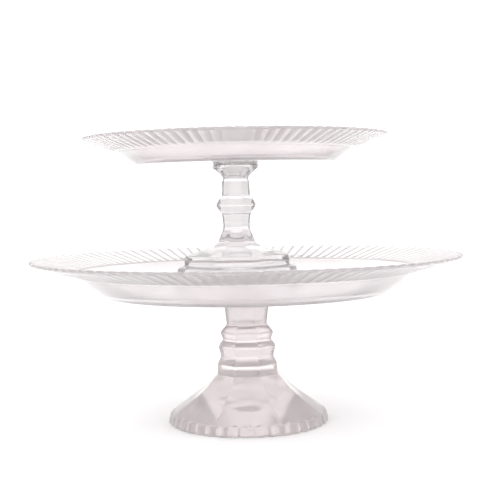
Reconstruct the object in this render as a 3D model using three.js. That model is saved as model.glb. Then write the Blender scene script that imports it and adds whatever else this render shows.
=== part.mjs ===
import * as THREE from 'three';

// Tiered cake stand made of pressed glass. Each tier is a broad fluted plate bonded to the top
// of a faceted candlestick, and the upper tier stands loose in the well of the lower plate.
// Millimetres, +Z up, origin on the table under the centre of the lower foot.

// ---- Driving dimensions ------------------------------------------------------------------

// Plates: heights are from the plate's flat underside.
const LOWER_PLATE = {
  rimRadius: 165,          // outer edge of the flange
  height: 28.7,            // underside to the top of the rim
  baseRadius: 110,         // flat underside
  wallRadius: 121.5,       // outside of the wall, half way up
  wallHeight: 8.5,
  shoulderRadius: 130,     // outside of the bend where the flange starts
  shoulderHeight: 16,
  floorThickness: 5,
  wallThickness: 4.6,
  edgeThickness: 3,        // glass at the rim
};

const UPPER_PLATE = {
  rimRadius: 116.6,
  height: 21.5,
  baseRadius: 76.5,
  wallRadius: 84.5,
  wallHeight: 5.8,
  shoulderRadius: 91.5,
  shoulderHeight: 10.4,
  floorThickness: 4,
  wallThickness: 3.6,
  edgeThickness: 2.4,
};

// Lower candlestick: eight flat sides that melt into a round hem at the foot. Radii are half
// the width across the flats, and heights are from the table. The cup takes what is left of
// the whole height.
const LOWER_STICK = {
  height: 99,
  sides: 8,
  turn: -1,                // degrees, from a side square to the front
  footRadius: 62.2,
  footEdge: 1.5,           // upright edge at the very bottom
  hemRadius: 60.6,         // top of the hem
  hemHeight: 7.2,
  skirtBendRadius: 35,     // point that the hollow curve of the skirt is drawn towards
  skirtBendHeight: 23,
  skirtTopRadius: 24.3,
  skirtTopHeight: 36.5,
  bandRadius: 23,          // plain band above the skirt
  bandHeight: 9,
  bandEdge: 1,             // bevel under the band
  collarRadius: 20.9,      // sloping collar above the band
  collarHeight: 5,
  lowerBeadFootRadius: 20.4,
  lowerBeadRadius: 21.8,
  lowerBeadHeight: 59,
  waistRadius: 18.7,       // between the beads
  waistHeight: 63.8,
  upperBeadRadius: 20,
  upperBeadHeight: 69.6,
  neckRadius: 15.4,        // bottom of the candle cup
  neckHeight: 75,
  cupRadius: 17.2,         // where the cup starts to flare
  flareHeight: 5,
  lipRadius: 20,
  lipEdge: 2.5,            // upright edge of the lip
  socketRadius: 11,
  socketEndRadius: 9,
  socketDepth: 22,
  hollowRadius: 16,        // hollow under the foot
  hollowHeight: 3,
};

// Upper candlestick: eight flat sides from the foot to the neck. The foot and its sweep are
// set from below, the knop and all above it from the top of the lip, and the plain stem
// between them takes what is left of the whole height.
const UPPER_STICK = {
  height: 93.5,
  sides: 8,
  turn: 0,
  footRadius: 48.5,
  footEdge: 1.5,
  stepRadius: 45,        // foot of the upright band
  stepHeight: 16.6,
  platformRadius: 39.8,    // upright band
  platformBottom: 17.6,
  platformTop: 24.7,
  sweepRadius: 28.4,       // start of the sweep from the platform to the stem
  sweepHeight: 27,
  sweepBendRadius: 14.6,   // point that the sweep is drawn towards
  sweepBendHeight: 32,
  stemFootRadius: 12.6,
  stemFootHeight: 39.5,
  stemWaistRadius: 10.1,
  stemTopRadius: 11.4,
  stemTopDrop: 36.5,
  knopRadius: 15.2,        // double cone
  knopDrop: 30.5,
  knopEdge: 2,             // upright edge of the double cone
  barrelFootRadius: 10.9,
  barrelFootDrop: 23.4,
  barrelTopRadius: 10.5,
  barrelTopDrop: 12.5,
  neckRadius: 10.1,
  neckDrop: 10,
  coneBendRadius: 12.4,    // point that the cone under the lip is drawn towards
  coneBendDrop: 6.7,
  lipRadius: 18,
  lipEdge: 2.5,
  socketRadius: 10.5,
  socketEndRadius: 7,
  socketDepth: 9,
  hollowRadius: 16,
  hollowHeight: 3,
};

// Clear adhesive between a candlestick's lip and the plate on it.
const ADHESIVE_THICKNESS = 1;
const ADHESIVE_INSET = 0.8;      // from the lip's outer edge
const ADHESIVE_CLEARANCE = 1;    // from the edge of the socket

// How far to one side of the lower plate's centre the upper tier stands.
const UPPER_TIER_OFFSET = -6.5;

// Steps round each turned solid, and along each curved stretch of its outline.
const PLATE_STEPS = 72;
const STICK_STEPS = 32;
const ADHESIVE_STEPS = 32;
const CURVE_STEPS = 4;

// ---- Materials ---------------------------------------------------------------------------

function clearMaterial(colour, roughness) {
  return new THREE.MeshStandardMaterial({
    color: colour,
    roughness,
    metalness: 0,
    transparent: true,
    opacity: 0.45,
  });
}

// ---- Turned and faceted solids -----------------------------------------------------------

// An outline in a half plane, walked with the solid on its left. Each point has its distance
// from the axis, its height, and how far its section is drawn out from a circle (0) to a
// polygon (1).
class Outline {
  constructor() {
    this.points = [];
  }

  add(radius, height, facet = 0) {
    this.points.push({ radius, height, facet });
    return this;
  }

  // Goes on from the last point along a curve towards a bend point and on to an end point.
  bend(bendRadius, bendHeight, radius, height, facetAt = () => 0) {
    const start = this.points.at(-1);
    const curve = new THREE.QuadraticBezierCurve(
      new THREE.Vector2(start.radius, start.height),
      new THREE.Vector2(bendRadius, bendHeight),
      new THREE.Vector2(radius, height),
    );
    return this.follow(curve, facetAt);
  }

  // Goes from the axis over a dome down to the height 0.
  dome(radius, height) {
    this.add(0, height);
    return this.follow(new THREE.EllipseCurve(0, 0, radius, height, Math.PI / 2, 0, true));
  }

  follow(curve, facetAt = () => 0) {
    for (const [index, point] of curve.getPoints(CURVE_STEPS).entries()) {
      if (index > 0) {
        this.add(point.x, point.y, facetAt(index / CURVE_STEPS));
      }
    }
    return this;
  }
}

// How much further out than its flats a regular polygon lies, at an angle from a corner.
function polygonStretch(angle, sides) {
  const share = (2 * Math.PI) / sides;
  const fromCorner = ((angle % share) + share) % share;
  return 1 / Math.cos(fromCorner - share / 2);
}

// Turns an outline about +Z. A faceted one stands with a side square to the front (-Y), and
// is then turned by the given degrees.
function turnedSolid(outline, steps, sides = 0, turn = 0) {
  const { points } = outline;
  const profile = points.map(({ radius, height }) => new THREE.Vector2(radius, height));
  const geometry = new THREE.LatheGeometry(profile, steps);
  const { position } = geometry.attributes;
  for (let index = 0; index < position.count; index += 1) {
    const { facet } = points[index % points.length];
    if (facet > 0) {
      const angle = Math.atan2(position.getX(index), position.getZ(index));
      const stretch = 1 + facet * (polygonStretch(angle, sides) - 1);
      position.setX(index, position.getX(index) * stretch);
      position.setZ(index, position.getZ(index) * stretch);
    }
  }
  geometry.rotateX(Math.PI / 2);
  if (sides > 0) {
    geometry.rotateZ(Math.PI / sides + THREE.MathUtils.degToRad(turn));
  }
  return geometry;
}

// ---- Plates ------------------------------------------------------------------------------

function plateGeometry(size) {
  const innerWall = size.wallRadius - size.wallThickness;
  const innerShoulder = size.shoulderRadius - size.wallThickness / 2;
  const innerShoulderHeight = size.shoulderHeight + size.wallThickness;
  const innerWallHeight = (innerShoulderHeight + size.floorThickness) / 2;
  const floorRadius = size.baseRadius - size.wallThickness / 2;
  const outline = new Outline()
    .add(0, 0)
    .add(size.baseRadius, 0)
    .bend(size.wallRadius, 0, size.wallRadius, size.wallHeight)
    .bend(size.wallRadius, size.shoulderHeight, size.shoulderRadius, size.shoulderHeight)
    .add(size.rimRadius, size.height - size.edgeThickness)
    .add(size.rimRadius, size.height)
    .add(innerShoulder, innerShoulderHeight)
    .bend(innerWall, innerShoulderHeight, innerWall, innerWallHeight)
    .bend(innerWall, size.floorThickness, floorRadius, size.floorThickness)
    .add(0, size.floorThickness);
  return turnedSolid(outline, PLATE_STEPS);
}

// ---- Candlesticks ------------------------------------------------------------------------

// Closes an outline through the candle socket, from the lip down to the axis.
function addSocket(outline, size) {
  const bottom = size.height - size.socketDepth;
  return outline
    .add(size.socketRadius, size.height)
    .add(size.socketEndRadius, bottom)
    .add(0, bottom);
}

function lowerStickGeometry(size) {
  const bandTop = size.skirtTopHeight + size.bandHeight;
  const collarTop = bandTop + size.collarHeight;
  const lipBottom = size.height - size.lipEdge;
  const flareBottom = lipBottom - size.flareHeight;
  const outline = new Outline()
    .dome(size.hollowRadius, size.hollowHeight)
    .add(size.footRadius, 0)
    .add(size.footRadius, size.footEdge)
    .add(size.hemRadius, size.hemHeight)
    .bend(
      size.skirtBendRadius,
      size.skirtBendHeight,
      size.skirtTopRadius,
      size.skirtTopHeight,
      (along) => along,
    )
    .add(size.bandRadius, size.skirtTopHeight + size.bandEdge, 1)
    .add(size.bandRadius, bandTop, 1)
    .add(size.collarRadius, collarTop, 1)
    .add(size.lowerBeadFootRadius, collarTop + size.bandEdge, 1)
    .add(size.lowerBeadRadius, size.lowerBeadHeight, 1)
    .add(size.waistRadius, size.waistHeight, 1)
    .add(size.upperBeadRadius, size.upperBeadHeight, 1)
    .add(size.neckRadius, size.neckHeight, 1)
    .add(size.cupRadius, flareBottom, 1)
    .bend(size.cupRadius, lipBottom, size.lipRadius, lipBottom, () => 1)
    .add(size.lipRadius, size.height, 1);
  return turnedSolid(addSocket(outline, size), STICK_STEPS, size.sides, size.turn);
}

function upperStickGeometry(size) {
  const top = size.height;
  const stemTop = top - size.stemTopDrop;
  const knopMiddle = top - size.knopDrop;
  const outline = new Outline()
    .dome(size.hollowRadius, size.hollowHeight)
    .add(size.footRadius, 0, 1)
    .add(size.footRadius, size.footEdge, 1)
    .add(size.stepRadius, size.stepHeight, 1)
    .add(size.platformRadius, size.platformBottom, 1)
    .add(size.platformRadius, size.platformTop, 1)
    .add(size.sweepRadius, size.sweepHeight, 1)
    .bend(
      size.sweepBendRadius,
      size.sweepBendHeight,
      size.stemFootRadius,
      size.stemFootHeight,
      () => 1,
    )
    .add(size.stemWaistRadius, (size.stemFootHeight + stemTop) / 2, 1)
    .add(size.stemTopRadius, stemTop, 1)
    .add(size.knopRadius, knopMiddle - size.knopEdge / 2, 1)
    .add(size.knopRadius, knopMiddle + size.knopEdge / 2, 1)
    .add(size.barrelFootRadius, top - size.barrelFootDrop, 1)
    .add(size.barrelTopRadius, top - size.barrelTopDrop, 1)
    .add(size.neckRadius, top - size.neckDrop, 1)
    .bend(
      size.coneBendRadius,
      top - size.coneBendDrop,
      size.lipRadius,
      top - size.lipEdge,
      (along) => 1 - along,
    )
    .add(size.lipRadius, top);
  return turnedSolid(addSocket(outline, size), STICK_STEPS, size.sides, size.turn);
}

function adhesiveGeometry(stick) {
  const inner = stick.socketRadius + ADHESIVE_CLEARANCE;
  const outer = stick.lipRadius - ADHESIVE_INSET;
  const outline = new Outline()
    .add(inner, 0)
    .add(outer, 0)
    .add(outer, ADHESIVE_THICKNESS)
    .add(inner, ADHESIVE_THICKNESS)
    .add(inner, 0);
  return turnedSolid(outline, ADHESIVE_STEPS);
}

// ---- Assembly ----------------------------------------------------------------------------

function piece(name, geometry, material, height) {
  const mesh = new THREE.Mesh(geometry, material);
  mesh.name = name;
  mesh.position.z = height;
  return mesh;
}

// One tier, standing on its own group's z = 0: candlestick, adhesive ring and plate.
function tier(name, stick, stickGeometry, stickColour, plate) {
  const plateBottom = stick.height + ADHESIVE_THICKNESS;
  const stickGlass = clearMaterial(stickColour, 0.06);
  const adhesive = clearMaterial(0xf2f2ee, 0.25);
  const plateGlass = clearMaterial(0xe9dcde, 0.06);
  const group = new THREE.Group();
  group.add(piece(`${name}_candlestick`, stickGeometry, stickGlass, 0));
  group.add(piece(`${name}_adhesive_ring`, adhesiveGeometry(stick), adhesive, stick.height));
  group.add(piece(`${name}_plate`, plateGeometry(plate), plateGlass, plateBottom));
  return group;
}

const lowerTier = tier(
  'lower', LOWER_STICK, lowerStickGeometry(LOWER_STICK), 0xdccccc, LOWER_PLATE,
);
const upperTier = tier(
  'upper', UPPER_STICK, upperStickGeometry(UPPER_STICK), 0xe6e8ea, UPPER_PLATE,
);
const wellFloor = LOWER_STICK.height + ADHESIVE_THICKNESS + LOWER_PLATE.floorThickness;
upperTier.position.set(UPPER_TIER_OFFSET, 0, wellFloor);

const cakeStand = new THREE.Group();
cakeStand.add(lowerTier, upperTier);

export default cakeStand;
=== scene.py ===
"""Looks of a two-tier cake stand of pressed glass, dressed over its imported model.

Each tier is a fluted plate bonded with clear adhesive to a faceted candlestick. The lower tier
is faintly rose-tinted, and the clearer upper candlestick stands loose in the lower plate's well.
Sizes of the glass are in millimetres; Blender's own values are in metres.
"""
import logging
import math
from dataclasses import dataclass, field
from enum import Enum

import bmesh
import bpy
import numpy as np
from mathutils import Euler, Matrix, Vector


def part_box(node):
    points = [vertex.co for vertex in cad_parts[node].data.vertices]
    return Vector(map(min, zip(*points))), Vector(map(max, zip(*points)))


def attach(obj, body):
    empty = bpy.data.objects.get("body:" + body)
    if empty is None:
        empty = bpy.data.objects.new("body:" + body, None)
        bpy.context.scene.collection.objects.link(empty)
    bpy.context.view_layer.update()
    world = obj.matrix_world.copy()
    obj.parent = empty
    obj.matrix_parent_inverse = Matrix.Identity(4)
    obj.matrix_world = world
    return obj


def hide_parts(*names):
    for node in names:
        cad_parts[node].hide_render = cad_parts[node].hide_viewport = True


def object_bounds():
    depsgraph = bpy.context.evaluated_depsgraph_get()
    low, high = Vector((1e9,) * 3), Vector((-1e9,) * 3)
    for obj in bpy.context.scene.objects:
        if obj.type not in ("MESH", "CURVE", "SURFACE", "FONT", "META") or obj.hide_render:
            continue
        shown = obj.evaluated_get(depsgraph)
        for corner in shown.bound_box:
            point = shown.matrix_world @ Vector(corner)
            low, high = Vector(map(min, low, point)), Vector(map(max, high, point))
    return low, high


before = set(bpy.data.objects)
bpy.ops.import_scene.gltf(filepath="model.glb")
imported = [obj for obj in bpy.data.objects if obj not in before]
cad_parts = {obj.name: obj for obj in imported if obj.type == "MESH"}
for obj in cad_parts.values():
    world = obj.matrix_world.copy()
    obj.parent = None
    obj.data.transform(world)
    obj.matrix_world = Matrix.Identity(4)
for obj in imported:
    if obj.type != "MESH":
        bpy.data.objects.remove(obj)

CAD_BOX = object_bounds()
MM = 0.001
TINY = 1e-9  # keeps a length from being divided by zero
CLOSEST_ROWS = 0.02  # mm between two rows of points, under which they count as one
MERGE_DISTANCE = 0.000002  # m between two points that are welded into one
SLIVER_LENGTH = 0.000001  # m, the longest edge that is dissolved
NOISE_RANGE = (0.3, 0.7)  # part of its range that nearly all of a noise lies in
LOG = logging.getLogger("cake_stand")

Colour = tuple[float, float, float, float]


# ---- Outlines ----------------------------------------------------------------------------


@dataclass(frozen=True)
class Station:
    """One corner of a turned piece's outline, in mm.

    Args:
        radius: distance from the axis, to the flats where the piece is faceted.
        height: height above the piece's own base.
        ease: how far from the corner its rounding starts.
        facet: 0 for a round section, 1 for a full polygon.
        relief: share of the moulded flutes' depth.
        dish: share of the hollow in each flat side.
    """

    radius: float
    height: float
    ease: float = 0.0
    facet: float = 0.0
    relief: float = 0.0
    dish: float = 0.0

    def vector(self) -> np.ndarray:
        """The station's values without its ease, for blending with its neighbours."""
        return np.array([self.radius, self.height, self.facet, self.relief, self.dish])


@dataclass
class Outline:
    """An outline in a half plane, walked with the glass on its left.

    Args:
        stations: its corners in order.
        closed: True for a ring, whose outline never meets the axis.
        step: longest stretch between two rows of points, in mm.
        support: how far beyond a rounding the next row lies, so that flats shade flat.
        rounding_steps: fewest steps in a rounding.
    """

    stations: list[Station]
    closed: bool = False
    step: float = 4.0
    support: float = 0.25
    rounding_steps: int = 5

    def corner(self, index: int) -> list[np.ndarray]:
        """The rows of points round one corner.

        Args:
            index: which station the corner is at.

        Returns:
            One row for a sharp corner, or a short curve of rows for an eased one.
        """
        count = len(self.stations)
        here = self.stations[index]
        ends = not self.closed and index in (0, count - 1)
        if ends or here.ease <= 0:
            return [here.vector()]
        before = self.stations[index - 1].vector()
        after = self.stations[(index + 1) % count].vector()
        middle = here.vector()
        starts = [self.towards(middle, other, here.ease) for other in (before, after)]
        length = sum(float(np.linalg.norm((start - middle)[:2])) for start in starts)
        steps = max(self.rounding_steps, math.ceil(length / self.step * 2))
        rows = []
        for number in range(steps + 1):
            t = number / steps
            rows.append((1 - t) ** 2 * starts[0] + 2 * t * (1 - t) * middle + t * t * starts[1])
        return rows

    @staticmethod
    def towards(start: np.ndarray, end: np.ndarray, distance: float) -> np.ndarray:
        """The values at a distance from one station towards another, half way at most."""
        length = float(np.linalg.norm((end - start)[:2]))
        return start + (end - start) * min(0.5, distance / max(length, TINY))

    def run(self, start: np.ndarray, end: np.ndarray) -> list[np.ndarray]:
        """The rows between two corners, with a close row beside each rounding.

        Args:
            start: last row of the corner before.
            end: first row of the corner after.

        Returns:
            Rows strictly between the two.
        """
        length = float(np.linalg.norm((end - start)[:2]))
        if length <= 4 * self.support:
            return []
        count = max(1, math.ceil(length / self.step))
        shares = [self.support / length]
        shares += [number / count for number in range(1, count)]
        shares.append(1 - self.support / length)
        return [start + (end - start) * share for share in shares]

    def rows(self) -> np.ndarray:
        """All rows of points: radius, height, facet, relief and dish, one row each."""
        corners = [self.corner(index) for index in range(len(self.stations))]
        rows: list[np.ndarray] = []
        for index, corner in enumerate(corners):
            if index or self.closed:
                rows += self.run(corners[index - 1][-1], corner[0])
            rows += corner
        kept = [rows[0]]
        for row in rows[1:]:
            if np.linalg.norm((row - kept[-1])[:2]) > CLOSEST_ROWS:
                kept.append(row)
        return np.array(kept)


# ---- Sections ----------------------------------------------------------------------------


@dataclass(frozen=True)
class Facets:
    """The flat sides of a faceted piece.

    Args:
        sides: how many.
        turn: degrees from a side square to the front.
        sharpness: the higher, the smaller the rounding of the corners.
        gather: how strongly the mesh's columns gather at the corners, from 0 to 1.
        dish_depth: how hollow each side is, in mm, where the outline asks for it.
    """

    sides: int = 8
    turn: float = 0.0
    sharpness: float = 110.0
    gather: float = 0.8
    dish_depth: float = 0.7

    def angles(self, columns: int, facet: np.ndarray) -> np.ndarray:
        """Angles of the mesh's columns, measured from a corner.

        Args:
            columns: how many there are.
            facet: how faceted each row is, as a column vector.

        Returns:
            One row of angles for each row of points.
        """
        even = np.arange(columns) / columns * 2 * math.pi
        wave = np.sin(self.sides * even) / self.sides
        return even[None, :] - self.gather * facet * wave[None, :]

    def stretch(self, angles: np.ndarray) -> np.ndarray:
        """How much further out than its flats the rounded polygon lies at each angle."""
        share = 2 * math.pi / self.sides
        total = np.zeros_like(angles)
        for number in range(self.sides):
            facing = np.cos(angles - share * (number + 0.5))
            total += np.clip(facing, 0, None) ** self.sharpness
        return total ** (-1 / self.sharpness)

    def hollow(self, angles: np.ndarray) -> np.ndarray:
        """How far each side is dished at each angle, in mm."""
        return self.dish_depth * np.sin(self.sides * angles / 2) ** 2


@dataclass(frozen=True)
class Flutes:
    """Rounded ribs with a sharp valley between each two.

    Args:
        count: how many go round the piece.
        depth: how deep the valleys are, in mm.
        fullness: under 1, broader crests and narrower valleys.
    """

    count: int
    depth: float
    fullness: float

    def cut(self, angles: np.ndarray) -> np.ndarray:
        """How much of the depth is cut away at each angle: 0 on a crest, 1 in a valley."""
        return 1 - np.abs(np.sin(self.count * angles / 2)) ** self.fullness


# ---- Finishes ----------------------------------------------------------------------------


@dataclass(frozen=True)
class Noise:
    """A cloud of procedural noise.

    Args:
        scale: how many clouds there are to a metre.
        detail: how many finer layers it has.
        rough: how strong the finer layers are.
    """

    scale: float
    detail: float
    rough: float


class Nodes:
    """The node tree of a material or a world, with short calls to add and join nodes."""

    def __init__(self, owner: bpy.types.Material | bpy.types.World) -> None:
        """Clears the owner's tree and starts it with an output.

        Args:
            owner: the material or the world.
        """
        owner.use_nodes = True
        self.owner = owner
        self.tree = owner.node_tree
        self.tree.nodes.clear()
        is_world = isinstance(owner, bpy.types.World)
        self.output = self.add("ShaderNodeOutputWorld" if is_world else "ShaderNodeOutputMaterial")
        coordinates = self.add("ShaderNodeTexCoord")
        self.where = coordinates.outputs["Generated" if is_world else "Object"]

    def add(self, kind: str, **values: object) -> bpy.types.Node:
        """Adds a node.

        Args:
            kind: Blender's name for the node's type.
            values: input sockets to set, with underscores for spaces.

        Returns:
            The new node.
        """
        node = self.tree.nodes.new(kind)
        for key, value in values.items():
            node.inputs[key.replace("_", " ")].default_value = value
        return node

    def join(self, source: bpy.types.NodeSocket, target: bpy.types.NodeSocket) -> None:
        """Links one socket to another."""
        self.tree.links.new(source, target)

    def noise(self, cloud: Noise) -> bpy.types.NodeSocket:
        """Adds noise in the piece's own space, or in the world's directions.

        Args:
            cloud: the noise's size and roughness.

        Returns:
            Its value, from 0 to 1.
        """
        node = self.add("ShaderNodeTexNoise", Scale=cloud.scale, Detail=cloud.detail)
        node.inputs["Roughness"].default_value = cloud.rough
        self.join(self.where, node.inputs["Vector"])
        return node.outputs["Fac"]

    def spread(
        self,
        value: bpy.types.NodeSocket,
        low: float,
        high: float,
        source: tuple[float, float] = NOISE_RANGE,
    ) -> bpy.types.NodeSocket:
        """Stretches a value over a range.

        Args:
            value: the value, such as a noise.
            low: result at the source's low end.
            high: result at the source's high end.
            source: the part of the value's own range that is stretched.

        Returns:
            The stretched value, held at its two ends.
        """
        node = self.add("ShaderNodeMapRange")
        node.inputs["From Min"].default_value = source[0]
        node.inputs["From Max"].default_value = source[1]
        node.inputs["To Min"].default_value = low
        node.inputs["To Max"].default_value = high
        self.join(value, node.inputs["Value"])
        return node.outputs["Result"]

    def ramp(self, value: bpy.types.NodeSocket, low: Colour, high: Colour) -> bpy.types.NodeSocket:
        """Blends two colours by a value.

        Args:
            value: what to blend by.
            low: colour where the value is low.
            high: colour where it is high.

        Returns:
            The blended colour.
        """
        node = self.tree.nodes.new("ShaderNodeValToRGB")
        for element, position, colour in zip(node.color_ramp.elements, NOISE_RANGE, (low, high)):
            element.position = position
            element.color = colour
        self.join(value, node.inputs["Fac"])
        return node.outputs["Color"]

    def bump(
        self,
        height: bpy.types.NodeSocket,
        distance: float,
        below: bpy.types.NodeSocket | None = None,
    ) -> bpy.types.NodeSocket:
        """Raises the surface by a value.

        Args:
            height: the value.
            distance: how high a value of 1 stands, in metres.
            below: the normal of a coarser layer, if this one lies on it.

        Returns:
            The bumped normal.
        """
        node = self.add("ShaderNodeBump", Strength=1.0, Distance=distance)
        self.join(height, node.inputs["Height"])
        if below is not None:
            self.join(below, node.inputs["Normal"])
        return node.outputs["Normal"]

    def combine(self, kind: str, *values: bpy.types.NodeSocket) -> bpy.types.NodeSocket:
        """Adds, subtracts, multiplies or compares values one after another.

        Args:
            kind: the name of the operation.
            values: what to work on.

        Returns:
            The result.
        """
        total = values[0]
        for value in values[1:]:
            node = self.tree.nodes.new("ShaderNodeMath")
            node.operation = kind
            self.join(total, node.inputs[0])
            self.join(value, node.inputs[1])
            total = node.outputs["Value"]
        return total


@dataclass(frozen=True)
class GlassFinish:
    """Pressed glass: clear, a little wavy, tinted by its own depth.

    Args:
        name: the material's name.
        pass_colour: what the body of the glass lets through best.
        density: how fast it absorbs the rest, per metre.
        skin_low: surface tint where the glass is cleanest.
        skin_high: surface tint where it is cloudiest.
        clearness: share of the light that passes, with the rest scattered as milk.
        haze_low: roughness where it is cleanest.
        haze_high: roughness where it is cloudiest.
        refraction: its index of refraction.
        ripple: height of the slow waves left by the mould, in metres.
        grain: height of the fine unevenness on them, in metres.
        clouds: where the tint is weaker and stronger.
        smears: where the surface is clean and cloudy.
        waves: the shape of the ripple.
        pits: the shape of the grain.
    """

    name: str
    pass_colour: Colour
    density: float
    skin_low: Colour
    skin_high: Colour
    clearness: float
    haze_low: float
    haze_high: float
    refraction: float = 1.5
    ripple: float = 0.00009
    grain: float = 0.000010
    clouds: Noise = Noise(22, 4, 0.55)
    smears: Noise = Noise(70, 5, 0.6)
    waves: Noise = Noise(38, 1, 0.4)
    pits: Noise = Noise(420, 3, 0.5)

    def material(self) -> bpy.types.Material:
        """Builds the glass."""
        nodes = Nodes(bpy.data.materials.new(self.name))
        glass = nodes.add("ShaderNodeBsdfPrincipled", IOR=self.refraction)
        glass.inputs["Transmission Weight"].default_value = self.clearness
        skin = nodes.ramp(nodes.noise(self.clouds), self.skin_low, self.skin_high)
        nodes.join(skin, glass.inputs["Base Color"])
        haze = nodes.spread(nodes.noise(self.smears), self.haze_low, self.haze_high)
        nodes.join(haze, glass.inputs["Roughness"])
        waves = nodes.bump(nodes.noise(self.waves), self.ripple)
        fine = nodes.bump(nodes.noise(self.pits), self.grain, waves)
        nodes.join(fine, glass.inputs["Normal"])
        nodes.join(glass.outputs["BSDF"], nodes.output.inputs["Surface"])
        body = nodes.add("ShaderNodeVolumeAbsorption", Color=self.pass_colour, Density=self.density)
        nodes.join(body.outputs["Volume"], nodes.output.inputs["Volume"])
        return nodes.owner


@dataclass(frozen=True)
class AdhesiveFinish:
    """Clear adhesive, cured a little milky, with tiny bubbles.

    Args:
        name: the material's name.
        low: tint where it is milkiest.
        high: tint where it is clearest.
        clearness: share of the light that passes.
        refraction: its index of refraction.
        haze_low: roughness where it is milkiest.
        haze_high: roughness where it is clearest.
        clouds: where it is milky and clear.
        bubbles: how many bubbles there are to a metre.
        bubble: how far they stand out, in metres.
    """

    name: str = "cured_adhesive"
    low: Colour = (0.9, 0.9, 0.88, 1)
    high: Colour = (0.97, 0.97, 0.95, 1)
    clearness: float = 0.85
    refraction: float = 1.46
    haze_low: float = 0.12
    haze_high: float = 0.35
    clouds: Noise = Noise(160, 4, 0.6)
    bubbles: float = 900.0
    bubble: float = 0.00012

    def material(self) -> bpy.types.Material:
        """Builds the adhesive."""
        nodes = Nodes(bpy.data.materials.new(self.name))
        gum = nodes.add("ShaderNodeBsdfPrincipled", IOR=self.refraction)
        gum.inputs["Transmission Weight"].default_value = self.clearness
        clouds = nodes.noise(self.clouds)
        nodes.join(nodes.ramp(clouds, self.low, self.high), gum.inputs["Base Color"])
        haze = nodes.spread(clouds, self.haze_low, self.haze_high)
        nodes.join(haze, gum.inputs["Roughness"])
        cells = nodes.add("ShaderNodeTexVoronoi", Scale=self.bubbles)
        nodes.join(nodes.where, cells.inputs["Vector"])
        nodes.join(nodes.bump(cells.outputs["Distance"], self.bubble), gum.inputs["Normal"])
        nodes.join(gum.outputs["BSDF"], nodes.output.inputs["Surface"])
        return nodes.owner


@dataclass(frozen=True)
class TableFinish:
    """The pale, matt sweep that the stand is shown on.

    Args:
        name: the material's name.
        low: colour of its darkest fibres.
        high: colour of its palest fibres.
        roughness: how matt it is.
        fibres: the paper's unevenness.
    """

    name: str = "pale_sweep"
    low: Colour = (0.9, 0.9, 0.9, 1)
    high: Colour = (0.93, 0.93, 0.93, 1)
    roughness: float = 0.9
    fibres: Noise = Noise(6, 4, 0.5)

    def material(self) -> bpy.types.Material:
        """Builds the sweep's paper."""
        nodes = Nodes(bpy.data.materials.new(self.name))
        paper = nodes.add("ShaderNodeBsdfPrincipled", Roughness=self.roughness)
        paper.inputs["Specular IOR Level"].default_value = 0.0
        colour = nodes.ramp(nodes.noise(self.fibres), self.low, self.high)
        nodes.join(colour, paper.inputs["Base Color"])
        nodes.join(paper.outputs["BSDF"], nodes.output.inputs["Surface"])
        return nodes.owner


class Finish(Enum):
    """The finishes that a piece can have, by the record's slot."""

    PLATE = "plate_glass"
    TINTED = "tinted_glass"
    CLEAR = "clear_glass"
    ADHESIVE = "clear_adhesive"

    def recipe(self) -> GlassFinish | AdhesiveFinish:
        """The finish's recipe."""
        recipes: dict[Finish, GlassFinish | AdhesiveFinish] = {
            Finish.PLATE: GlassFinish(
                "rose_plate_glass",
                pass_colour=(0.72, 0.65, 0.68, 1),
                density=13.0,
                skin_low=(0.965, 0.928, 0.934, 1),
                skin_high=(0.988, 0.964, 0.97, 1),
                clearness=0.8,
                haze_low=0.09,
                haze_high=0.17,
            ),
            Finish.TINTED: GlassFinish(
                "rose_stem_glass",
                pass_colour=(0.8, 0.5, 0.5, 1),
                density=2.0,
                skin_low=(0.98, 0.932, 0.934, 1),
                skin_high=(0.995, 0.965, 0.967, 1),
                clearness=0.73,
                haze_low=0.1,
                haze_high=0.2,
            ),
            Finish.CLEAR: GlassFinish(
                "clear_stem_glass",
                pass_colour=(0.8, 0.7, 0.72, 1),
                density=1.0,
                skin_low=(0.94, 0.93, 0.94, 1),
                skin_high=(0.97, 0.965, 0.97, 1),
                clearness=0.88,
                haze_low=0.01,
                haze_high=0.05,
            ),
            Finish.ADHESIVE: AdhesiveFinish(),
        }
        return recipes[self]

    def material(self) -> bpy.types.Material:
        """The finish's material, built once."""
        recipe = self.recipe()
        return bpy.data.materials.get(recipe.name) or recipe.material()


# ---- Pieces ------------------------------------------------------------------------------


@dataclass(frozen=True)
class Seat:
    """Where a CAD node stands: its axis, its base and its size, in mm."""

    x: float
    y: float
    base: float
    height: float
    radius: float

    @classmethod
    def of(cls, node: str) -> "Seat":
        """Reads a node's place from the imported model.

        Args:
            node: the node's name.

        Returns:
            Its seat.
        """
        low, high = (Vector(corner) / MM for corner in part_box(node))
        middle = (low + high) / 2
        return cls(middle.x, middle.y, low.z, high.z - low.z, (high.x - low.x) / 2)


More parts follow.
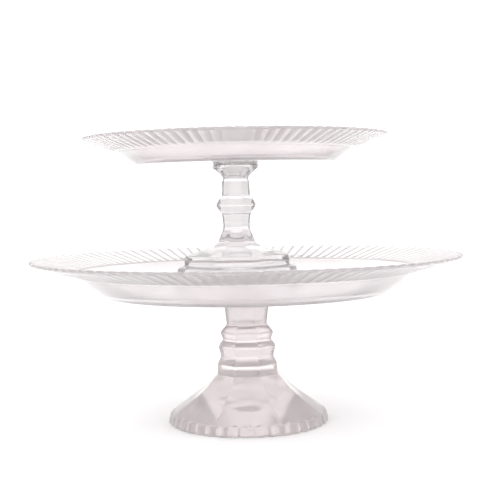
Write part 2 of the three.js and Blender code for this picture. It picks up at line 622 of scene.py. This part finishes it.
@dataclass
class TurnedPiece:
    """A piece turned about its own axis, the parent of every piece of the stand.

    Args:
        node: the CAD node that it stands for.
        body: the CAD body that it rides on.
        finish: what it is made of.
        columns: how many steps the mesh has round the axis.
        gap: how far it keeps from the piece it stands on, in mm.
        facets: its flat sides, where its outline asks for any.
        seat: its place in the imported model.
    """

    node: str
    body: str
    finish: Finish
    columns: int = 320
    gap: float = 0.04
    facets: Facets = Facets(gather=0.0)
    seat: Seat = field(init=False)

    def __post_init__(self) -> None:
        """Finds the piece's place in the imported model."""
        self.seat = Seat.of(self.node)

    def outline(self) -> Outline:
        """The piece's outline, which each kind of piece draws for itself."""
        raise NotImplementedError

    def carve(self, rows: np.ndarray, angles: np.ndarray) -> np.ndarray:
        """How far the surface is cut in along the outline's normal.

        Args:
            rows: the outline's rows.
            angles: the columns' angles for each row, from the front.

        Returns:
            One depth in mm for each point.
        """
        return np.zeros_like(angles)

    @staticmethod
    def normals(rows: np.ndarray) -> np.ndarray:
        """Outward directions of the outline at each row, in its half plane."""
        ahead = np.roll(rows[:, :2], -1, axis=0)
        behind = np.roll(rows[:, :2], 1, axis=0)
        ahead[-1] = rows[-1, :2]
        behind[0] = rows[0, :2]
        along = ahead - behind
        along /= np.maximum(np.linalg.norm(along, axis=1, keepdims=True), TINY)
        return np.stack([along[:, 1], -along[:, 0]], axis=1)

    def points(self, rows: np.ndarray) -> np.ndarray:
        """Places every point of the mesh, in metres.

        Args:
            rows: the outline's rows.

        Returns:
            An array of rows by columns by three.
        """
        facet = rows[:, 2:3]
        corner_angles = self.facets.angles(self.columns, facet)
        share = math.pi / self.facets.sides
        angles = corner_angles + share + math.radians(self.facets.turn)
        radius = rows[:, 0:1] * (1 + facet * (self.facets.stretch(corner_angles) - 1))
        radius = radius - rows[:, 4:5] * self.facets.hollow(corner_angles)
        height = np.repeat(rows[:, 1:2], self.columns, axis=1)
        cut = self.carve(rows, angles)
        normal = self.normals(rows)
        radius = radius - cut * normal[:, 0:1]
        height = height - cut * normal[:, 1:2]
        x = self.seat.x + radius * np.sin(angles)
        y = self.seat.y - radius * np.cos(angles)
        z = self.seat.base + height
        return np.stack([x, y, z], axis=2) * MM

    def mesh(self) -> bpy.types.Mesh:
        """Builds the closed mesh, with one point at each end of an open outline.

        Returns:
            The mesh, with smooth faces that look outwards.
        """
        outline = self.outline()
        rows = outline.rows()
        points = self.points(rows)
        count = len(rows)
        last = count if outline.closed else count - 1
        grid = np.arange(count * self.columns).reshape(count, self.columns)
        faces = []
        for row in range(last):
            here = grid[row]
            above = grid[(row + 1) % count]
            quads = np.stack([here, np.roll(here, -1), np.roll(above, -1), above], axis=1)
            faces += quads.tolist()
        mesh = bpy.data.meshes.new(self.node + "_glass")
        mesh.from_pydata(points.reshape(-1, 3).tolist(), [], faces)
        body = bmesh.new()
        body.from_mesh(mesh)
        bmesh.ops.remove_doubles(body, verts=body.verts, dist=MERGE_DISTANCE)
        bmesh.ops.dissolve_degenerate(body, edges=body.edges, dist=SLIVER_LENGTH)
        bmesh.ops.recalc_face_normals(body, faces=body.faces)
        for face in body.faces:
            face.smooth = True
        body.to_mesh(mesh)
        body.free()
        return mesh

    def build(self) -> bpy.types.Object:
        """Makes the piece, dresses it and puts it in its CAD node's place.

        Returns:
            The finished object.
        """
        piece = bpy.data.objects.new(self.node + "_glass", self.mesh())
        bpy.context.scene.collection.objects.link(piece)
        piece.data.materials.append(self.finish.material())
        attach(piece, self.body)
        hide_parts(self.node)
        LOG.info("%s: %d faces", piece.name, len(piece.data.polygons))
        return piece


@dataclass
class Plate(TurnedPiece):
    """A pressed-glass plate: fluted flange with a roped edge, smooth wall and flat well.

    Args:
        base_radius: edge of the flat underside.
        wall_radius: outside of the wall, half way up.
        wall_height: height of that point.
        shoulder_radius: outside of the bend where the flange starts.
        shoulder_height: height of the bend.
        floor_thickness: glass under the well.
        wall_thickness: glass of the wall.
        edge_thickness: glass at the rim.
        flutes: the ribs under the flange.
        edge_share: share of the flutes' depth that notches the rim.
        tooth_length: how much further out the valleys start than the ribs.
        tooth_ramp: length over which each valley sinks to its full depth.
        tooth_rows: where the rows of points lie that shape the valleys' ends, beyond their start.
        flute_inset: how far outside the shoulder the ribs start.
    """

    base_radius: float = 110.0
    wall_radius: float = 121.5
    wall_height: float = 8.5
    shoulder_radius: float = 130.0
    shoulder_height: float = 16.0
    floor_thickness: float = 5.0
    wall_thickness: float = 4.6
    edge_thickness: float = 3.0
    flutes: Flutes = Flutes(108, 1.05, 0.8)
    edge_share: float = 1.3
    tooth_length: float = 2.6
    tooth_ramp: float = 1.1
    tooth_rows: tuple[float, ...] = (1.0, 1.9, 2.8, 3.8)
    flute_inset: float = 0.5

    def outline(self) -> Outline:
        """Underside, rim and well of the plate."""
        rim = self.seat.radius
        height = self.seat.height
        wall = self.wall_thickness
        under_rim = height - self.edge_thickness
        edge = self.edge_thickness / 2
        flute_start = self.shoulder_radius + self.flute_inset
        rise = (under_rim - self.shoulder_height) / (rim - self.shoulder_radius)
        under_flute = self.shoulder_height + rise * self.flute_inset
        lift = wall * 0.9
        stations = [
            Station(0, self.gap),
            Station(self.base_radius, self.gap, 1.6),
            Station(self.wall_radius, self.wall_height, wall * 2),
            Station(self.shoulder_radius, self.shoulder_height, 1.2),
            Station(flute_start, under_flute, 0.4),
            *(
                Station(flute_start + reach, under_flute + rise * reach, relief=1.0)
                for reach in self.tooth_rows
            ),
            Station(rim - edge, under_rim, edge, 0, 1.0),
            Station(rim, under_rim + edge / 2, edge, 0, self.edge_share),
            Station(rim, height - 0.1, edge * 0.9, 0, self.edge_share),
            Station(rim - edge * 1.6, height - 0.1 - rise * edge, 0.8, 0, 0.15),
            Station(rim - edge * 3, height - 0.1 - rise * edge * 2.4, 1.5),
            Station(self.shoulder_radius - wall * 0.4, self.shoulder_height + lift, wall),
            Station(self.wall_radius - wall * 0.8, self.wall_height + wall * 0.7, wall * 2),
            Station(self.base_radius - wall * 0.6, self.floor_thickness, wall * 1.2),
            Station(0, self.floor_thickness),
        ]
        return Outline(stations, step=7.0, rounding_steps=4)

    def carve(self, rows: np.ndarray, angles: np.ndarray) -> np.ndarray:
        """Cuts the flutes, whose inner ends are rounded like teeth."""
        valley = self.flutes.cut(angles)
        start = self.shoulder_radius + self.flute_inset + self.tooth_length * valley
        under = rows[:, 1:2] < self.seat.height - self.edge_thickness
        reach = np.clip((rows[:, 0:1] - start) / self.tooth_ramp, 0, 1)
        reach = np.where(under, reach * reach * (3 - 2 * reach), 1.0)
        return self.flutes.depth * valley * rows[:, 3:4] * reach


@dataclass
class LowerCandlestick(TurnedPiece):
    """The pedestal: skirted foot with a fluted hem, two beads and a plain candle cup.

    Args:
        hem_flutes: the ribs round the hem.
        foot_radius: widest part of the foot.
        hem_radius: top of the hem.
        hem_height: height of the hem.
        hollow_radius: edge of the hollow under the foot.
        hollow_height: how deep it is.
        skirt_top: height of the skirt's upper end.
        lip_radius: half the width of the cup's lip.
        socket_radius: mouth of the candle socket.
        socket_depth: how deep it is.
    """

    facets: Facets = Facets(turn=-1.0)
    hem_flutes: Flutes = Flutes(40, 1.5, 0.8)
    foot_radius: float = 62.2
    hem_radius: float = 60.6
    hem_height: float = 7.2
    hollow_radius: float = 16.0
    hollow_height: float = 3.0
    skirt_top: float = 36.5
    lip_radius: float = 20.0
    socket_radius: float = 11.0
    socket_depth: float = 22.0

    def outline(self) -> Outline:
        """Hollow, foot, skirt, band, beads, cup and socket."""
        top = self.seat.height
        hem = self.hem_height
        skirt = self.skirt_top
        stations = [
            Station(0, self.hollow_height),
            Station(self.hollow_radius * 0.5, self.hollow_height, 7),
            Station(self.hollow_radius, self.gap, 2.0),
            Station(self.foot_radius - 2.2, self.gap),
            Station(self.foot_radius - 0.6, self.gap, 0.5, 0, 0.9),
            Station(self.foot_radius, 1.3, 0.9, 0, 1.0),
            Station(self.hem_radius, hem, 0.8, 0, 1.0),
            Station(self.hem_radius - 2.6, hem + 1.2, 0.5, 0.45, 0.0, 1.0),
            Station(36.5, 23, 20, 0.85, 0, 1.0),
            Station(24.3, skirt, 0.6, 1, 0, 0.3),
            Station(23.1, skirt + 0.9, 0.4, 1),
            Station(23.0, skirt + 9, 0.5, 1),
            Station(20.6, skirt + 14, 0.6, 1),
            Station(20.2, skirt + 15, 0.8, 1),
            Station(22.2, 59.2, 1.5, 1),
            Station(18.4, 64.4, 1.6, 1),
            Station(20.7, 69.8, 1.5, 1),
            Station(16.2, 75.0, 0.6, 1),
            Station(15.6, 75.8, 0.4, 1),
            Station(17.2, top - 7.5, 3, 1),
            Station(self.lip_radius, top - 3.2, 1.6, 1),
            Station(self.lip_radius, top - self.gap, 1, 1),
            Station(self.socket_radius, top - self.gap, 1),
            Station(self.socket_radius - 2, top - self.socket_depth, 2),
            Station(0, top - self.socket_depth),
        ]
        return Outline(stations, step=2.0)

    def carve(self, rows: np.ndarray, angles: np.ndarray) -> np.ndarray:
        """Cuts the hem's flutes, which line up with the corners of the skirt."""
        turned = angles - math.pi / self.facets.sides - math.radians(self.facets.turn)
        return self.hem_flutes.depth * self.hem_flutes.cut(turned) * rows[:, 3:4]


@dataclass
class UpperCandlestick(TurnedPiece):
    """The slim stem: stepped foot, double-cone knop and a flared lip.

    Args:
        foot_radius: widest part of the foot.
        hollow_radius: edge of the hollow under the foot.
        hollow_height: how deep it is.
        platform_radius: the foot's upper step.
        knop_radius: widest part of the knop.
        lip_radius: half the width of the lip.
        socket_radius: mouth of the candle socket.
        socket_depth: how deep it is.
    """

    facets: Facets = Facets(turn=0.0, sharpness=140.0)
    foot_radius: float = 48.5
    hollow_radius: float = 16.0
    hollow_height: float = 3.0
    platform_radius: float = 39.8
    knop_radius: float = 15.2
    lip_radius: float = 18.0
    socket_radius: float = 10.5
    socket_depth: float = 9.0

    def outline(self) -> Outline:
        """Hollow, stepped foot, sweep, stem, knop, barrel, lip and socket."""
        top = self.seat.height
        platform = self.platform_radius
        stations = [
            Station(0, self.hollow_height),
            Station(self.hollow_radius * 0.5, self.hollow_height, 7),
            Station(self.hollow_radius, self.gap, 2.0),
            Station(self.foot_radius - 0.5, self.gap, 0.4, 1),
            Station(self.foot_radius, 1.5, 0.6, 1),
            Station(45.0, 15.8, 1.0, 1),
            Station(platform + 1.0, 17.0, 0.6, 1),
            Station(platform + 0.3, 17.9, 0.5, 1),
            Station(platform, 23.9, 0.6, 1),
            Station(platform - 1.0, 24.8, 0.8, 1),
            Station(28.4, 27.0, 3, 1, 0, 0.6),
            Station(15.4, 31.8, 10, 1, 0, 0.8),
            Station(12.6, 39.5, 1.4, 1, 0, 0.3),
            Station(10.7, 43.0, 2, 1),
            Station(10.1, 48.0, 4, 1),
            Station(11.2, 56.2, 0.8, 1),
            Station(11.9, 57.2, 0.5, 1),
            Station(self.knop_radius, 62.2, 0.7, 1),
            Station(self.knop_radius, 63.8, 0.7, 1),
            Station(11.8, 69.3, 0.6, 1),
            Station(10.9, 70.2, 0.5, 1),
            Station(10.5, top - 12.2, 0.5, 1),
            Station(9.7, top - 11.0, 0.5, 1),
            Station(9.8, top - 9.6, 0.5, 1),
            Station(11.6, top - 7.3, 2, 0.8),
            Station(17.2, top - 2.6, 0.8, 0.25),
            Station(self.lip_radius, top - 1.7, 0.7),
            Station(self.lip_radius - 0.5, top - self.gap, 0.6),
            Station(self.socket_radius, top - self.gap, 0.8),
            Station(self.socket_radius - 3.5, top - self.socket_depth, 2),
            Station(0, top - self.socket_depth),
        ]
        return Outline(stations, step=1.8)


@dataclass
class AdhesiveRing(TurnedPiece):
    """The bead of cured adhesive between a lip and the plate on it.

    Args:
        hole_radius: inner edge of the bead, round the socket.
        pinch: how far its sides are drawn in.
    """

    hole_radius: float = 12.0
    pinch: float = 0.35

    def outline(self) -> Outline:
        """A thin ring whose sides are drawn in between the two pieces of glass."""
        outer = self.seat.radius
        top = self.seat.height - self.gap
        middle = self.seat.height / 2
        stations = [
            Station(self.hole_radius, self.gap, 0.1),
            Station(outer, self.gap, 0.1),
            Station(outer - self.pinch, middle, 0.3),
            Station(outer, top, 0.1),
            Station(self.hole_radius, top, 0.1),
            Station(self.hole_radius + self.pinch, middle, 0.3),
        ]
        return Outline(stations, closed=True, step=1.5, support=0.05)


@dataclass
class Tier:
    """One tier, all on one body.

    Args:
        stick: its candlestick.
        ring: the adhesive on the candlestick's lip.
        plate: the plate on top.
    """

    stick: TurnedPiece
    ring: AdhesiveRing
    plate: Plate

    def build(self) -> list[bpy.types.Object]:
        """Builds the tier's three pieces from the table up."""
        return [part.build() for part in (self.stick, self.ring, self.plate)]


def lower_tier() -> Tier:
    """The large plate on its skirted pedestal."""
    body = "lower_stand"
    return Tier(
        LowerCandlestick("lower_candlestick", body, Finish.TINTED),
        AdhesiveRing("lower_adhesive_ring", body, Finish.ADHESIVE, columns=128),
        Plate("lower_plate", body, Finish.PLATE, columns=864),
    )


def upper_tier() -> Tier:
    """The small plate on its slim stem."""
    body = "upper_stand"
    plate = Plate(
        "upper_plate",
        body,
        Finish.PLATE,
        columns=720,
        base_radius=76.5,
        wall_radius=84.5,
        wall_height=5.8,
        shoulder_radius=91.5,
        shoulder_height=10.4,
        floor_thickness=4.0,
        wall_thickness=3.6,
        edge_thickness=2.4,
        flutes=Flutes(90, 0.3, 0.9),
        edge_share=1.9,
        tooth_length=2.0,
        tooth_ramp=0.9,
    )
    return Tier(
        UpperCandlestick("upper_candlestick", body, Finish.CLEAR),
        AdhesiveRing("upper_adhesive_ring", body, Finish.ADHESIVE, columns=128, hole_radius=11.5),
        plate,
    )


# ---- Studio ------------------------------------------------------------------------------


@dataclass(frozen=True)
class Window:
    """A bright, soft-edged patch of the room that glass mirrors and bends.

    Args:
        turn: degrees round from the front, to the right.
        lift: degrees above the horizon.
        spread: degrees from its middle to its edge.
        strength: how bright it is.
        softness: how wide its blurred edge is, as a share of its spread either way.
    """

    turn: float
    lift: float
    spread: float
    strength: float
    softness: float = 0.15

    def direction(self) -> Vector:
        """Where the window lies."""
        turn, lift = math.radians(self.turn), math.radians(self.lift)
        flat = math.cos(lift)
        return Vector((flat * math.sin(turn), -flat * math.cos(turn), math.sin(lift)))

    def glow(self, nodes: Nodes) -> bpy.types.NodeSocket:
        """How bright the window makes each direction.

        Args:
            nodes: the world's node tree.

        Returns:
            Its brightness there.
        """
        facing = nodes.tree.nodes.new("ShaderNodeVectorMath")
        facing.operation = "DOT_PRODUCT"
        facing.inputs[1].default_value = self.direction()
        nodes.join(nodes.where, facing.inputs[0])
        edge = math.cos(math.radians(self.spread * (1 + self.softness)))
        core = math.cos(math.radians(self.spread * (1 - self.softness)))
        return nodes.spread(facing.outputs["Value"], 0, self.strength, (edge, core))


@dataclass(frozen=True)
class Room:
    """The white room round the stand, as plain light and as what glass mirrors and bends.

    Args:
        plain: brightness for the camera and for matt surfaces.
        ground: brightness below eye level, as glass mirrors it.
        horizon: brightness at eye level, as glass sees it.
        zenith: brightness overhead, as glass sees it.
        tint: its colour, as glass sees it.
        climb: heights of a direction between which it brightens from horizon to zenith.
        ground_edge: heights of a direction between which the ground fades out.
        patches: its patches of light and shade.
        patch_range: the part of the patches' noise that is stretched.
        patch_low: what the darkest patches keep of it.
        patch_high: what the brightest patches make of it.
        windows: its bright patches.
    """

    plain: float = 1.4
    ground: float = 1.6
    horizon: float = 0.92
    zenith: float = 1.15
    tint: Colour = (1.0, 0.975, 0.972, 1)
    climb: tuple[float, float] = (0.1, 0.85)
    ground_edge: tuple[float, float] = (-0.02, -0.005)
    patches: Noise = Noise(1.7, 2, 0.5)
    patch_range: tuple[float, float] = (0.38, 0.6)
    patch_low: float = 0.88
    patch_high: float = 1.05
    windows: tuple[Window, ...] = (
        Window(-50, 38, 14, 1.5),
        Window(62, 30, 10, 1.2),
        Window(205, 42, 12, 1.0),
    )

    def build(self) -> bpy.types.World:
        """Builds the room as the scene's world."""
        nodes = Nodes(bpy.data.worlds.new("white_room"))
        split = nodes.add("ShaderNodeSeparateXYZ")
        nodes.join(nodes.where, split.inputs["Vector"])
        height = nodes.spread(split.outputs["Z"], self.horizon, self.zenith, self.climb)
        patches = nodes.noise(self.patches)
        shade = nodes.spread(patches, self.patch_low, self.patch_high, self.patch_range)
        room = nodes.combine("MULTIPLY", height, shade)
        room = nodes.combine("ADD", room, *(window.glow(nodes) for window in self.windows))
        path = nodes.add("ShaderNodeLightPath")
        through = path.outputs["Is Transmission Ray"]
        glossy = path.outputs["Is Glossy Ray"]
        mirrored = nodes.combine("SUBTRACT", glossy, through)
        ground = nodes.spread(split.outputs["Z"], self.ground, 0, self.ground_edge)
        ground = nodes.combine("MULTIPLY", ground, mirrored)
        room = nodes.combine("MAXIMUM", room, ground)
        glass_ray = nodes.combine("MAXIMUM", glossy, through)
        glass_ray = nodes.combine("SUBTRACT", glass_ray, path.outputs["Diffuse Depth"])
        plain = nodes.add("ShaderNodeBackground", Strength=self.plain)
        plain.inputs["Color"].default_value = (1, 1, 1, 1)
        seen = nodes.add("ShaderNodeBackground", Color=self.tint)
        nodes.join(room, seen.inputs["Strength"])
        mix = nodes.add("ShaderNodeMixShader")
        nodes.join(glass_ray, mix.inputs["Fac"])
        nodes.join(plain.outputs["Background"], mix.inputs[1])
        nodes.join(seen.outputs["Background"], mix.inputs[2])
        nodes.join(mix.outputs["Shader"], nodes.output.inputs["Surface"])
        bpy.context.scene.world = nodes.owner
        return nodes.owner


@dataclass(frozen=True)
class Lamp:
    """A soft square lamp that looks at the stand.

    Args:
        name: the lamp's name.
        place: where it hangs, in metres.
        size: length of its side, in metres.
        power: in watts.
    """

    name: str
    place: tuple[float, float, float]
    size: float
    power: float

    def build(self, target: Vector) -> bpy.types.Object:
        """Hangs the lamp.

        Args:
            target: the point it looks at.

        Returns:
            The lamp's object.
        """
        light = bpy.data.lights.new(self.name, "AREA")
        light.energy = self.power
        light.size = self.size
        lamp = bpy.data.objects.new(self.name, light)
        lamp.location = self.place
        lamp.rotation_euler = (target - lamp.location).to_track_quat("-Z", "Y").to_euler()
        bpy.context.scene.collection.objects.link(lamp)
        return lamp


@dataclass
class Studio:
    """Pale sweep, soft light and the camera.

    Args:
        distance: from the camera to the stand's axis, in metres.
        eye_height: of the camera above the table, in metres.
        pitch: degrees that the camera looks down.
        yaw: degrees that it looks to the left of the axis.
        roll: degrees that it is tipped clockwise.
        lens: focal length, in mm.
        sensor: width of the sensor, in mm.
        near: where the camera's view starts, in metres.
        far: where it ends, in metres.
        floor_half: half the floor's side, in metres.
        floor_squares: how many squares the floor's mesh has along a side.
        floor_drop: how far the floor lies under the stand, in metres.
        bounces: how many walls of glass a ray may pass.
        mirror_bounces: how many times it may be mirrored.
        brightest: limit on stray bright samples.
        room: the room's light.
        lamps: the lamps.
    """

    distance: float = 0.7844
    eye_height: float = 0.17467
    pitch: float = 3.05
    yaw: float = 0.39
    roll: float = 1.15
    lens: float = 72.9
    sensor: float = 36.0
    near: float = 0.01
    far: float = 200.0
    floor_half: float = 1.0
    floor_squares: int = 16
    floor_drop: float = 0.0002
    bounces: int = 48
    mirror_bounces: int = 24
    brightest: float = 3.0
    room: Room = Room()
    lamps: tuple[Lamp, ...] = (
        Lamp("key_lamp", (-0.9, -1.2, 1.6), 0.9, 5.0),
        Lamp("front_spark", (0.12, -0.5, 1.2), 0.08, 2.0),
        Lamp("top_spark", (-0.1, -0.05, 1.5), 0.08, 2.0),
    )

    def camera(self) -> bpy.types.Object:
        """Sets up the camera."""
        data = bpy.data.cameras.new("stand_camera")
        data.sensor_width = self.sensor
        data.lens = self.lens
        data.clip_start = self.near
        data.clip_end = self.far
        camera = bpy.data.objects.new("stand_camera", data)
        camera.location = (0, -self.distance, self.eye_height)
        tip = math.radians(90 - self.pitch)
        aim = Euler((tip, 0, math.radians(self.yaw)), "XYZ").to_matrix()
        tilt = Euler((0, 0, math.radians(-self.roll)), "XYZ").to_matrix()
        camera.rotation_euler = (aim @ tilt).to_euler()
        bpy.context.scene.collection.objects.link(camera)
        bpy.context.scene.camera = camera
        return camera

    def floor(self) -> bpy.types.Object:
        """Lays the pale floor."""
        mesh = bpy.data.meshes.new("pale_floor")
        body = bmesh.new()
        squares = self.floor_squares
        bmesh.ops.create_grid(body, x_segments=squares, y_segments=squares, size=self.floor_half)
        body.to_mesh(mesh)
        body.free()
        floor = bpy.data.objects.new("pale_floor", mesh)
        floor.location.z = -self.floor_drop
        floor.data.materials.append(TableFinish().material())
        bpy.context.scene.collection.objects.link(floor)
        return floor

    def render_limits(self) -> None:
        """Lets light pass through many walls of glass, and keeps whites plain."""
        scene = bpy.context.scene
        scene.view_settings.view_transform = "Standard"
        scene.cycles.max_bounces = self.bounces
        scene.cycles.transmission_bounces = self.bounces
        scene.cycles.glossy_bounces = self.mirror_bounces
        scene.cycles.sample_clamp_indirect = self.brightest

    def build(self) -> None:
        """Sets up the whole studio round the stand."""
        low, high = CAD_BOX
        target = (Vector(low) + Vector(high)) / 2
        self.camera()
        self.floor()
        self.room.build()
        for lamp in self.lamps:
            lamp.build(target)
        self.render_limits()


def main() -> None:
    """Builds the studio and both tiers."""
    logging.basicConfig(level=logging.INFO, format="%(name)s: %(message)s")
    Studio().build()
    for tier in (lower_tier(), upper_tier()):
        tier.build()


if __name__ == "__main__":
    main()
